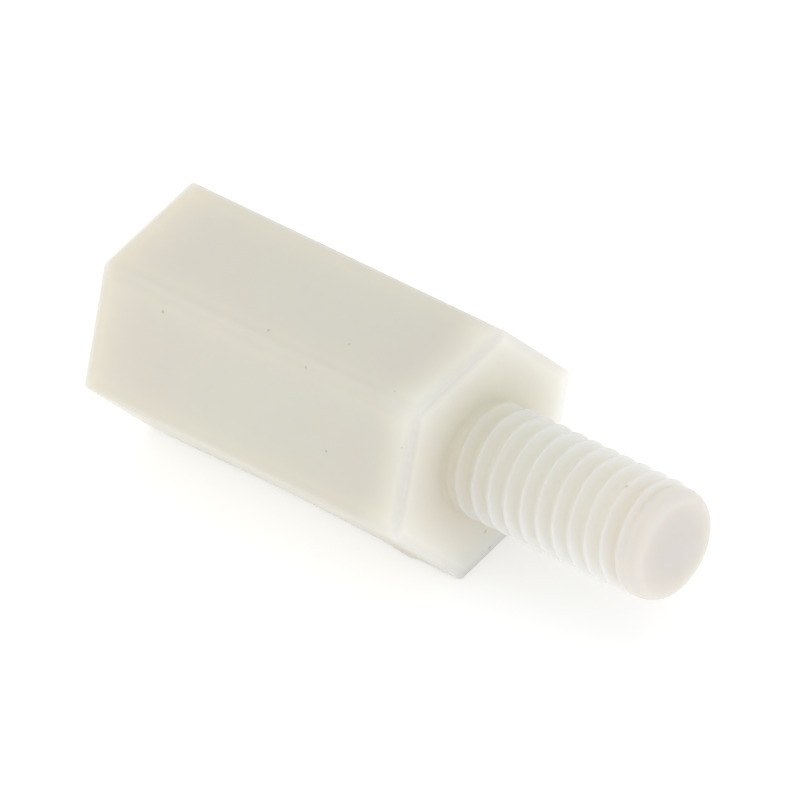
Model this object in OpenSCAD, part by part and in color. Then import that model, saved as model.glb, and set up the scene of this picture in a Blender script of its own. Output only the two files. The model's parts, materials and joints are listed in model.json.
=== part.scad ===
// Hex standoff, male to female, moulded in one piece.
// It lies on one of its flats. +X runs along the axis towards the stud and +Z is up.
// The origin is on the axis, in the plane of the shoulder that a board seats against.

/* [Body] */
// Distance across the flats of the hexagon, which a spanner grips
flats_w = 5.5; // [4.5:0.1:8]
// Length of the body from its end face to the shoulder
body_len = 10; // [8:0.5:40]
// Radius on the six long edges
edge_r = 0.2; // [0.05:0.05:0.4]

/* [Stud] */
// Diameter over the crests of the stud's thread
stud_d = 2.9; // [2:0.1:3.5]
// Length of the stud from the shoulder to its tip
stud_len = 6; // [3:0.5:12]
// Radius on the rim of the stud's tip
tip_r = 0.35; // [0.1:0.05:0.5]

/* [Threaded hole] */
// Diameter across the crests of the thread in the hole
hole_d = 2.5; // [1.6:0.1:3]
// Depth of the hole from the end face
hole_depth = 7; // [3:0.5:7.5]
// Width and depth of the chamfer at the mouth of the hole
mouth_chamfer = 0.35; // [0.1:0.05:0.5]

/* [Hidden] */
$fn = 96;

sides = 6;
side_angle = 360 / sides;
corner_dist = flats_w / 2 / cos(side_angle / 2); // from the axis to a sharp corner
edge_centre_dist = corner_dist - edge_r / cos(side_angle / 2); // to the centre of an edge's radius
stud_r = stud_d / 2;
hole_r = hole_d / 2;
edge_proud = 0.0001; // the radii stand this far proud of the flats, so that each crosses them cleanly
overrun = 1; // how far a cut runs past the face that it opens
natural_nylon = [0.85, 0.84, 0.785];

// Puts a shape that was drawn along +Z on the axis, with its foot at x.
module on_axis(x) {
    translate([x, 0, 0]) rotate([0, 90, 0]) children();
}

// Where the radius on one long edge is centred. Two of the flats face up and down.
function edge_centre(i) =
    let (angle = side_angle * (i + 0.5)) edge_centre_dist * [cos(angle), sin(angle)];

// The two points where the radius on one long edge meets the flats beside it.
function edge_ends(i) = [
    for (k = [0, 1])
        let (angle = side_angle * (i + k)) edge_centre(i) + edge_r * [cos(angle), sin(angle)]
];

// Section of the body: a hexagon with its corners rounded.
module rounded_hexagon() {
    polygon([for (i = [0 : sides - 1]) each edge_ends(i)]);
    for (i = [0 : sides - 1]) translate(edge_centre(i)) circle(r = edge_r + edge_proud);
}

module body() {
    on_axis(-body_len) linear_extrude(height = body_len) rounded_hexagon();
}

// Half section of the stud, with the rim of its tip rounded. It starts inside the body, so the two join.
module stud_profile() {
    translate([0, -overrun]) square([stud_r, overrun + stud_len - tip_r]);
    square([stud_r - tip_r, stud_len]);
    translate([stud_r - tip_r, stud_len - tip_r]) circle(r = tip_r);
}

module stud() {
    on_axis(0) rotate_extrude() stud_profile();
}

// The hole as a solid. Its mouth is chamfered and its floor is flat.
module threaded_hole() {
    on_axis(-body_len) rotate_extrude() polygon([
        [0, -overrun],
        [hole_r + mouth_chamfer + overrun, -overrun],
        [hole_r, mouth_chamfer],
        [hole_r, hole_depth],
        [0, hole_depth]
    ]);
}

module standoff() {
    color(natural_nylon) difference() {
        union() {
            body();
            stud();
        }
        threaded_hole();
    }
}

standoff();
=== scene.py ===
import json
import math

import bmesh
import bpy
from mathutils import Matrix, Vector, noise


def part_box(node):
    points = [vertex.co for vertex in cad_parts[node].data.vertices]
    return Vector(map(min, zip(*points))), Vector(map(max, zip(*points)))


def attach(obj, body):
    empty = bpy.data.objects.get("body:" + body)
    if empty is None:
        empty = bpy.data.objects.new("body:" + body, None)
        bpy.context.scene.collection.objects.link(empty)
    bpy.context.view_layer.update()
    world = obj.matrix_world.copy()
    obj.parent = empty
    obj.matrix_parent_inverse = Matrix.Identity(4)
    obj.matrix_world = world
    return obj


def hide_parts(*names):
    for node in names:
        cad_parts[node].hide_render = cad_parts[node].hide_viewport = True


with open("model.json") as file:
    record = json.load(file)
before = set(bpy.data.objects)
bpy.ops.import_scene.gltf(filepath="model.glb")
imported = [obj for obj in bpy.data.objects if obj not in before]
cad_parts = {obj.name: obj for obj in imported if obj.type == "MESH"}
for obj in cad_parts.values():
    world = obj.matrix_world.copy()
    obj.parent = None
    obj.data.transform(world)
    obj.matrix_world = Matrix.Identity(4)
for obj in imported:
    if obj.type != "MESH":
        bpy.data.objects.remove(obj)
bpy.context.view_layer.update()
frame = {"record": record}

mm = 0.001
mounts = {mount["name"]: mount for mount in frame["record"]["mounts"]}
low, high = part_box("standoff")


# ---------------------------------------------------------------------------------------------
# The body: a hexagonal bar that a spanner grips, moulded in nylon together with the stud.
# The mould leaves a small radius on its edges, the flats and one long edge have sunk a little in
# cooling, and that edge carries a trace of flash by the shoulder, with a nick in it.
body_start = low.x
body_end = mounts["shoulder_face"]["pos_m"][0]
body_length = body_end - body_start
flats_width = high.z - low.z
edge_radius = 0.2 * mm
rim_radius = 0.04 * mm
flat_sink = 0.022 * mm
edge_sink = 0.042 * mm
flash = 0.05 * mm
nick_burr = 0.06 * mm
uneven_sink = 0.004 * mm
uneven_size = 2.4 * mm
low_edge = math.radians(240)  # which of the six long edges has sunk and carries the flash
# Where along the body they lie, in shares of its length, and how closely they keep to that edge
sunk_from, sunk_to = 0.1, 0.75
flash_from, flash_full = 0.7, 0.84
nick_from, nick_full, nick_stop = 0.76, 0.862, 0.87
sunk_keenness = 6
flash_keenness = 200
end_share = 0.04
skin_from = 0.48 * flats_width
rim_band = 0.08 * mm
close_by = 0.001 * mm
lengthwise_cuts = 39
crosswise_cuts = 7

to_axis = Matrix.Rotation(math.pi / 2, 4, "Y")  # turns what stands along Z to lie along X
along_x = Vector((1, 0, 0))

nylon_part = bmesh.new()
bmesh.ops.create_cone(
    nylon_part,
    cap_ends=True,
    segments=6,
    radius1=flats_width / 2 / math.cos(math.pi / 6),
    radius2=flats_width / 2 / math.cos(math.pi / 6),
    depth=body_length,
    matrix=Matrix.Translation((body_start + body_length / 2, 0, 0)) @ to_axis,
)


def runs_lengthwise(edge):
    a, b = (vert.co for vert in edge.verts)
    return abs((b - a).normalized().x) > 0.999


def at_x(edge, x):
    return all(abs(vert.co.x - x) < close_by for vert in edge.verts)


def round_off(mesh, edges, radius, segments):
    """Rounds edges to a radius. The bevel starts where the arc leaves each face."""
    turn = edges[0].calc_face_angle()
    bmesh.ops.bevel(
        mesh,
        geom=edges,
        offset=radius * math.tan(turn / 2),
        offset_type="OFFSET",
        segments=segments,
        profile=0.5,
        affect="EDGES",
        material=-1,
    )


round_off(nylon_part, [e for e in nylon_part.edges if runs_lengthwise(e)], edge_radius, 6)
for end in (body_start, body_end):
    round_off(nylon_part, [e for e in nylon_part.edges if at_x(e, end)], rim_radius, 3)
long_edges = [e for e in nylon_part.edges if runs_lengthwise(e)]
bmesh.ops.subdivide_edges(nylon_part, edges=long_edges, cuts=lengthwise_cuts, use_grid_fill=True)
flat_edge = flats_width / math.sqrt(3) - 2 * edge_radius * math.tan(math.pi / 6)
cross_edges = [
    e for e in nylon_part.edges if not runs_lengthwise(e) and e.calc_length() > 0.9 * flat_edge
]
bmesh.ops.subdivide_edges(nylon_part, edges=cross_edges, cuts=crosswise_cuts, use_grid_fill=True)


def hump(value, start, stop):
    """A smooth rise from start to halfway and back down to stop, 1 at its top."""
    return math.sin(math.pi * min(max((value - start) / (stop - start), 0), 1)) ** 2


def ease(value, start, stop):
    """0 before start, 1 after stop, and smooth between."""
    share = min(max((value - start) / (stop - start), 0), 1)
    return share * share * (3 - 2 * share)


def cooled(point):
    """Where a point of the bar's sides lies once the plastic has cooled."""
    share = (point.x - body_start) / body_length
    if not 0 < share < 1:
        return point
    angle = math.atan2(point.z, point.y)
    reach = math.hypot(point.y, point.z)
    mid_flat = (1 - math.cos(6 * angle)) / 2  # the corners lie at 0, 60, 120...
    near_low_edge = max(0.0, math.cos(angle - low_edge))
    inward = flat_sink * math.sin(math.pi * share) * mid_flat
    inward += edge_sink * hump(share, sunk_from, sunk_to) * near_low_edge**sunk_keenness
    unevenness = uneven_sink * (1 + noise.noise(point / uneven_size)) * mid_flat
    inward += unevenness * ease(share, 0, end_share) * ease(1 - share, 0, end_share)
    outward = flash * ease(share, flash_from, flash_full)
    outward += nick_burr * ease(share, nick_from, nick_full) * (share < nick_stop)
    sideways = outward * near_low_edge**flash_keenness
    shrink = 1 - inward / reach
    return Vector((point.x, point.y * shrink - sideways, point.z * shrink))


for vert in nylon_part.verts:
    if math.hypot(vert.co.y, vert.co.z) > skin_from:
        vert.co = cooled(vert.co)


def open_end(mesh, x):
    """Takes the flat face out of an end but for a narrow band, and returns the band's inner loop."""
    at_end = [f for f in mesh.faces if abs(f.calc_center_median().x - x) < close_by]
    face = max(at_end, key=lambda f: f.calc_area())
    bmesh.ops.inset_region(mesh, faces=[face], thickness=rim_band)
    loop = list(face.edges)
    bmesh.ops.delete(mesh, geom=[face], context="FACES_ONLY")
    return loop


shoulder_loop = open_end(nylon_part, body_end)
open_end(nylon_part, body_start)


# ---------------------------------------------------------------------------------------------
# The stud: a right-handed M3 x 0.5 thread, moulded with the body. Its crests and roots are
# softened by the mould, it fades out into a plain neck at the shoulder, and it stops short of the
# tip, which has a plain land and a well-rounded rim.
pitch = 0.5 * mm
thread_depth = 0.27 * mm
crest_radius = mounts["stud"]["dims"]["r_mm"] * mm
stud_tip = high.x
neck_end = 0.10 * mm
land_start = stud_tip - 0.36 * mm
land_radius = 1.395 * mm
neck_radius = 1.40 * mm
foot_fillet = 0.11 * mm
tip_radius = 1.14 * mm
tip_band = 0.07 * mm
neck_fade_end = neck_end + 0.3 * mm
land_fade_start = land_start - 0.42 * mm
land_fade_end = land_start - 0.02 * mm
crest_at = 0.185 * mm  # the middle of a crest, straight out along +Y
turn_steps = 96
weld_within = 0.0005 * mm
trim_within = 0.0002 * mm
# Half a pitch of the thread's outline, from mid-crest to mid-root: along the axis in pitches, and
# down in depths
half_outline = [(0, 0), (0.045, 0.006), (0.075, 0.045), (0.14, 0.27)]
half_outline += [(0.21, 0.53), (0.28, 0.78), (0.345, 0.945), (0.42, 0.992)]
outline = half_outline + [(0.5, 1)] + [(1 - along, down) for along, down in half_outline[:0:-1]]


def add_helix(mesh, start, stop, radius_of, phase):
    """Adds a thread's surface that reaches past two places along the axis."""
    first = math.floor((start - phase) / pitch) - 2
    last = math.ceil((stop - phase) / pitch) + 1
    points = [
        Vector((phase + (turn + along) * pitch, radius_of(down), 0))
        for turn in range(first, last)
        for along, down in outline
    ]
    verts = [mesh.verts.new(point) for point in points]
    edges = [mesh.edges.new(pair) for pair in zip(verts, verts[1:])]
    bmesh.ops.spin(
        mesh,
        geom=verts + edges,
        cent=(0, 0, 0),
        axis=along_x,
        dvec=along_x * pitch / turn_steps,
        angle=2 * math.pi,
        steps=turn_steps,
        use_merge=False,
    )


def reach_of(point):
    return math.hypot(point.y, point.z)


def put_at_reach(vert, reach):
    scale = reach / reach_of(vert.co)
    vert.co.y *= scale
    vert.co.z *= scale


def thread(start, stop, radius_of, phase, reshape):
    """A thread's surface as its own mesh, trimmed square at start and stop."""
    mesh = bmesh.new()
    add_helix(mesh, start, stop, radius_of, phase)
    bmesh.ops.remove_doubles(mesh, verts=mesh.verts, dist=weld_within)
    for place, outward in ((start, -along_x), (stop, along_x)):
        bmesh.ops.bisect_plane(
            mesh,
            geom=mesh.verts[:] + mesh.edges[:] + mesh.faces[:],
            dist=trim_within,
            plane_co=along_x * place,
            plane_no=outward,
            clear_outer=True,
        )
    for vert in mesh.verts:
        put_at_reach(vert, reshape(vert.co.x, reach_of(vert.co)))
    return mesh


def rim_at(mesh, x):
    return [e for e in mesh.edges if e.is_boundary and at_x(e, x)]


def extend(mesh, rim, stations):
    """Carries an open rim on through rings given as (place along the axis, radius)."""
    for place, radius in stations:
        grown = bmesh.ops.extrude_edge_only(mesh, edges=rim)["geom"]
        rim = [g for g in grown if isinstance(g, bmesh.types.BMEdge) and g.is_boundary]
        for vert in {v for edge in rim for v in edge.verts}:
            vert.co.x = place
            put_at_reach(vert, radius)
    return rim


def quarter(start, stop, steps):
    """Rings round a quarter of an ellipse, from start to stop, each a (place, radius)."""
    rings = []
    for step in range(1, steps + 1):
        angle = math.pi / 2 * step / steps
        place = start[0] + (stop[0] - start[0]) * math.sin(angle)
        radius = stop[1] + (start[1] - stop[1]) * math.cos(angle)
        rings.append((place, radius))
    return rings


def stud_shape(x, reach):
    """Fades the thread into the neck at the shoulder and into the plain land at the tip."""
    neck = 1 - ease(x, neck_end, neck_fade_end)
    land = ease(x, land_fade_start, land_fade_end)
    reach += (neck_radius - reach) * neck
    reach += (land_radius - reach) * land
    return reach


stud = thread(
    neck_end, land_start, lambda down: crest_radius - thread_depth * down, crest_at, stud_shape
)
foot_rings = quarter((neck_end, neck_radius), (body_end, neck_radius + foot_fillet), 5)
extend(stud, rim_at(stud, neck_end), foot_rings)
tip_rings = quarter((land_start, land_radius), (stud_tip, tip_radius), 9)
tip = extend(stud, rim_at(stud, land_start), tip_rings)
tip = extend(stud, tip, [(stud_tip, tip_radius - tip_band)])
bmesh.ops.contextual_create(stud, geom=tip)


# ---------------------------------------------------------------------------------------------
# The threaded hole: blind, M3 x 0.5, moulded on a threaded core pin that is unscrewed once the
# nylon has set. Its mouth is chamfered so that a screw finds its way in, and the thread runs out
# just short of the hole's flat floor.
hole_radius = mounts["threaded_bore"]["dims"]["r_mm"] * mm
mouth_chamfer = 0.35 * mm
hole_depth = 7 * mm
hole_floor = mounts["threaded_bore"]["pos_m"][0] + hole_depth / 2
floor_corner = 0.12 * mm
thread_end = hole_floor - 0.45 * mm
hole_fade_start = thread_end - 0.5 * mm
hole_fade_end = thread_end - 0.02 * mm


def hole_shape(x, reach):
    """Opens the thread into the chamfered mouth, and fades it out above the floor."""
    reach += (hole_radius - reach) * ease(x, hole_fade_start, hole_fade_end)
    return max(reach, hole_radius + mouth_chamfer - (x - body_start))


hole = thread(
    body_start, thread_end, lambda down: hole_radius + thread_depth * (1 - down), crest_at, hole_shape
)
wall_end = (hole_floor - floor_corner, hole_radius)
floor_rings = [wall_end]
floor_rings += quarter(wall_end, (hole_floor, hole_radius - floor_corner), 5)
floor_rim = extend(hole, rim_at(hole, thread_end), floor_rings)
bmesh.ops.contextual_create(hole, geom=floor_rim)


# ---------------------------------------------------------------------------------------------
# The whole moulding: body, stud and hole are one piece of nylon, so their meshes are sewn into one
# closed skin at the shoulder and round the mouth.
def sew_in(mesh, other, loop):
    """Copies other into mesh and joins its open rim to the loop."""
    scratch = bpy.data.meshes.new("scratch")
    other.to_mesh(scratch)
    other.free()
    known = set(mesh.edges)
    mesh.from_mesh(scratch)
    bpy.data.meshes.remove(scratch)
    rim = [e for e in mesh.edges if e not in known and e.is_boundary]
    bmesh.ops.triangle_fill(mesh, edges=loop + rim, use_beauty=True, normal=along_x)


sew_in(nylon_part, stud, shoulder_loop)
sew_in(nylon_part, hole, [e for e in nylon_part.edges if e.is_boundary])
bmesh.ops.recalc_face_normals(nylon_part, faces=nylon_part.faces)
for face in nylon_part.faces:
    face.smooth = True

standoff_mesh = bpy.data.meshes.new("standoff_moulding")
nylon_part.to_mesh(standoff_mesh)
nylon_part.free()
standoff = bpy.data.objects.new("standoff_moulding", standoff_mesh)
bpy.context.scene.collection.objects.link(standoff)
standoff.modifiers.new("even_normals", "WEIGHTED_NORMAL")
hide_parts("standoff")
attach(standoff, "root")

# The plastic is undyed nylon: milky, a little yellow, and slightly cloudy at the scale of millimetres.
# It is less yellow where it is thin, as on the stud. Its colour also carries painted shade on the
# edges and rims, and painted light and shade along the axis. The mould gives it a satin skin, and a
# few grains of dust cling to it.
olive_tint = (0.69, 0.68, 0.595, 1)
blush_tint = (0.70, 0.665, 0.59, 1)
# The next grey is painted shade on the long edges and the rims of the ends
edge_shade_tint = (0.57, 0.55, 0.49, 1)
dust_tint = (0.50, 0.48, 0.39, 1)
cloud_size = 4 * mm
skin_size = 0.22 * mm
waviness_size = 1.5 * mm
ripple_height = 0.008 * mm
skin_height = 0.0025 * mm
body_scatter = 1.2 * mm
stud_scatter = 8 * mm

nylon = bpy.data.materials.new("natural_nylon")
nylon.use_nodes = True
tree = nylon.node_tree
shader = tree.nodes["Principled BSDF"]
shader.inputs["IOR"].default_value = 1.53
shader.inputs["Specular IOR Level"].default_value = 0.4
shader.inputs["Subsurface Weight"].default_value = 1.0
shader.inputs["Subsurface Radius"].default_value = (1.0, 0.9, 0.7)


def add_node(kind, inputs=None, **settings):
    """Adds a node to the nylon. Inputs holds values, or other nodes' outputs to link."""
    node = tree.nodes.new("ShaderNode" + kind)
    for name, value in settings.items():
        setattr(node, name, value)
    for name, value in (inputs or {}).items():
        if isinstance(value, bpy.types.NodeSocket):
            tree.links.new(value, node.inputs[name])
        else:
            node.inputs[name].default_value = value
    return node


def cloud(size, detail):
    place = {"Vector": coordinates, "Scale": 1 / size, "Detail": detail, "Roughness": 0.55}
    return add_node("TexNoise", place).outputs["Fac"]


def spread(value, start, stop, low_value, high_value):
    limits = {"Value": value, "From Min": start, "From Max": stop}
    limits.update({"To Min": low_value, "To Max": high_value})
    return add_node("MapRange", limits).outputs["Result"]


def work_out(operation, first, second=None):
    inputs = {0: first} if second is None else {0: first, 1: second}
    return add_node("Math", inputs, operation=operation).outputs["Value"]


def blend(share, first, second, mode="MIX"):
    node = add_node("Mix", data_type="RGBA", blend_type=mode)
    for place, value in (("Factor", share), ("A", first), ("B", second)):
        sockets = [i for i in node.inputs if i.name == place and i.enabled]
        if isinstance(value, bpy.types.NodeSocket):
            tree.links.new(value, sockets[0])
        else:
            sockets[0].default_value = value
    return next(o for o in node.outputs if o.enabled)


coordinates = add_node("TexCoord").outputs["Object"]
along_axis = add_node("SeparateXYZ", {"Vector": coordinates}).outputs["X"]
tint = blend(spread(cloud(cloud_size, 2), 0.38, 0.62, 0, 1), olive_tint, blush_tint)

# Light goes deeper into the slender stud than into the thick body
into_stud = spread(along_axis, -1.3 * mm, 0.9 * mm, body_scatter, stud_scatter)
near_tip = (stud_tip - 1.4 * mm, stud_tip - 0.2 * mm)
into_tip = spread(along_axis, *near_tip, stud_scatter, body_scatter)
tree.links.new(work_out("MINIMUM", into_stud, into_tip), shader.inputs["Subsurface Scale"])

# Painted shade: the long edges and the rims of both ends are painted a touch greyer than the flats, to
# tone down the light that scatters out through the thin edges and glances off them
across = add_node("VectorMath", {0: coordinates, 1: (0, 1, 1)}, operation="MULTIPLY")
from_axis = add_node("VectorMath", {0: across.outputs["Vector"]}, operation="LENGTH")
to_flat = 0.0
for turned in (30, 90, 150):
    squarely = (0, math.cos(math.radians(turned)), math.sin(math.radians(turned)))
    height = add_node("VectorMath", {0: coordinates, 1: squarely}, operation="DOT_PRODUCT")
    to_flat = work_out("MAXIMUM", to_flat, work_out("ABSOLUTE", height.outputs["Value"]))
to_end = work_out("ABSOLUTE", work_out("SUBTRACT", along_axis, (body_start + body_end) / 2))
near_end = spread(to_end, body_length / 2 - 0.3 * mm, body_length / 2, 0, 0.85)
outside = spread(to_flat, flats_width / 2 - 0.25 * mm, flats_width / 2 - 0.04 * mm, 0, 1)
near_edge = (flats_width / 2 + 0.26 * mm, flats_width / 2 + 0.39 * mm)
long_edge_shade = spread(from_axis.outputs["Value"], *near_edge, 0, 0.45)
painted_edge_shade = work_out("MAXIMUM", work_out("MULTIPLY", near_end, outside), long_edge_shade)
tint = blend(painted_edge_shade, tint, edge_shade_tint)

# How the colour changes along the axis, in mm, partly the nylon's own tone and partly painted light and
# shade:
# it is less yellow on the thin stud and painted darker there, to tone down the light that scatters
# through it and that the lamps and floor throw on it; bluer at the shoulder against the brownish shade
# at the stud's foot; and painted lighter near the open end, where light shines through the thin wall
# round the hole
depth = add_node("ValToRGB", {"Fac": spread(along_axis, low.x, high.x, 0, 1)})
stops = depth.color_ramp.elements
stops[0].color = (1.0, 1.0, 1.0, 1)
stops[1].color = (0.915, 0.92, 0.985, 1)
for along, colour in (
    (-9.4, (1.015, 1.02, 1.02, 1)),
    (-8.4, (0.995, 0.995, 0.995, 1)),
    (-1.5, (0.965, 0.965, 0.97, 1)),
    (0.0, (0.935, 0.95, 0.985, 1)),
    (2.8, (0.91, 0.93, 0.965, 1)),
    (4.8, (0.925, 0.935, 0.975, 1)),
):
    stops.new((along * mm - low.x) / (high.x - low.x)).color = colour
tint = blend(1.0, tint, depth.outputs["Color"], "MULTIPLY")

# Grains of dust, placed one by one: the way the flat faces, in degrees, the shares of the body's length
# and of the flat's width (from its middle, anticlockwise), and the grain's radius in mm
flat_side = flats_width / math.sqrt(3)
grain_points = []
for facing, along, sideways, radius in (
    (150, 0.2, -0.35, 0.05),
    (90, 0.5, 0.4, 0.05),
    (90, 0.7, 0.2, 0.04),
    (150, 0.65, -0.45, 0.04),
    (150, 0.75, 0.1, 0.05),
    (90, 0.9, 0.4, 0.03),
    (150, 0.97, -0.2, 0.03),
):
    flat_middle = Vector((body_start + along * body_length, flats_width / 2, 0))
    off_middle = Vector((0, 0, sideways * flat_side))
    turn_to_flat = Matrix.Rotation(math.radians(facing), 3, "X")
    grain_points.append((turn_to_flat @ (flat_middle + off_middle), radius * mm))
# One in the nick on the low edge, two low on the shoulder, and one on top of the stud near its tip
in_nick = Vector((body_start + 0.87 * body_length, flat_side, 0))
grain_points.append((Matrix.Rotation(low_edge, 3, "X") @ in_nick, 0.09 * mm))
grain_points.append((Vector((body_end, -0.2 * flats_width / 2, -0.75 * flats_width / 2)), 0.06 * mm))
grain_points.append((Vector((body_end, -0.2 * flats_width / 2, -0.95 * flats_width / 2)), 0.07 * mm))
grain_points.append((Vector((0.8 * stud_tip, 0, crest_radius)), 0.07 * mm))
on_grain = 0.0
for point, radius in grain_points:
    away = add_node("VectorMath", {0: coordinates, 1: point}, operation="DISTANCE")
    inside = spread(away.outputs["Value"], 0.5 * radius, radius, 1, 0)
    on_grain = work_out("MAXIMUM", on_grain, inside)
tree.links.new(blend(on_grain, tint, dust_tint), shader.inputs["Base Color"])

skin = cloud(skin_size, 3)
tree.links.new(spread(skin, 0.3, 0.7, 0.36, 0.48), shader.inputs["Roughness"])
waves = cloud(waviness_size, 1)
ripple = add_node("Bump", {"Height": waves, "Distance": ripple_height, "Strength": 1.0})
grainy = add_node("Bump", {"Height": skin, "Distance": skin_height, "Strength": 1.0})
tree.links.new(ripple.outputs["Normal"], grainy.inputs["Normal"])
tree.links.new(grainy.outputs["Normal"], shader.inputs["Normal"])
standoff_mesh.materials.append(nylon)


# ---------------------------------------------------------------------------------------------
# The floor: a white light table, glowing faintly from below, that the standoff lies on.
floor_size = 1.2
floor_white = 0.80
floor_roughness = 0.8
floor_shine = 0.2
floor_glow = 0.34

table_top = bmesh.new()
bmesh.ops.create_grid(
    table_top, x_segments=1, y_segments=1, size=floor_size / 2, matrix=Matrix.Translation((0, 0, low.z))
)
floor_mesh = bpy.data.meshes.new("light_table")
table_top.to_mesh(floor_mesh)
table_top.free()
floor = bpy.data.objects.new("light_table", floor_mesh)
bpy.context.scene.collection.objects.link(floor)

table_white = bpy.data.materials.new("table_white")
table_white.use_nodes = True
surface = table_white.node_tree.nodes["Principled BSDF"]
surface.inputs["Base Color"].default_value = (floor_white, floor_white, floor_white, 1)
surface.inputs["Roughness"].default_value = floor_roughness
surface.inputs["Specular IOR Level"].default_value = floor_shine
surface.inputs["Emission Color"].default_value = (1, 1, 1, 1)
surface.inputs["Emission Strength"].default_value = floor_glow
floor_mesh.materials.append(table_white)


# ---------------------------------------------------------------------------------------------
# The light: a bright white room all round, with large soft lamps that tell the faces apart.
room_light = 0.86
lamp_size = 0.4

world = bpy.data.worlds.new("white_room")
bpy.context.scene.world = world
world.use_nodes = True
world.node_tree.nodes["Background"].inputs["Color"].default_value = (1, 1, 1, 1)
world.node_tree.nodes["Background"].inputs["Strength"].default_value = room_light


def softbox(name, place, power):
    lamp = bpy.data.lights.new(name, "AREA")
    lamp.shape = "SQUARE"
    lamp.size = lamp_size
    lamp.energy = power
    holder = bpy.data.objects.new(name, lamp)
    holder.location = place
    holder.rotation_euler = (-Vector(place)).to_track_quat("-Z", "Y").to_euler()
    bpy.context.scene.collection.objects.link(holder)


softbox("left_softbox", (-0.30, -0.30, 0.22), 0.1)
softbox("front_softbox", (0.35, -0.16, 0.20), 0.27)
softbox("top_softbox", (0.10, 0.15, 0.45), 0.25)

bpy.context.scene.view_settings.view_transform = "Standard"


# ---------------------------------------------------------------------------------------------
# The camera: a long lens from above and in front of the stud, rolled a little.
lens = 720
camera_distance = 374 * mm
azimuth = math.radians(51.74)
elevation = math.radians(43.27)
roll = math.radians(-15.21)
aim = Vector((-1.91, -0.47, 1.29)) * mm

camera = bpy.data.objects.new("camera", bpy.data.cameras.new("camera"))
level = math.cos(elevation)
back = Vector((math.sin(azimuth) * level, -math.cos(azimuth) * level, math.sin(elevation)))
camera.location = aim + back * camera_distance
camera.rotation_euler = (
    (-back).to_track_quat("-Z", "Y").to_matrix() @ Matrix.Rotation(roll, 3, "Z")
).to_euler()
camera.data.lens = lens
camera.data.sensor_width = 36
camera.data.clip_start = 0.01
camera.data.clip_end = 10
bpy.context.scene.collection.objects.link(camera)
bpy.context.scene.camera = camera
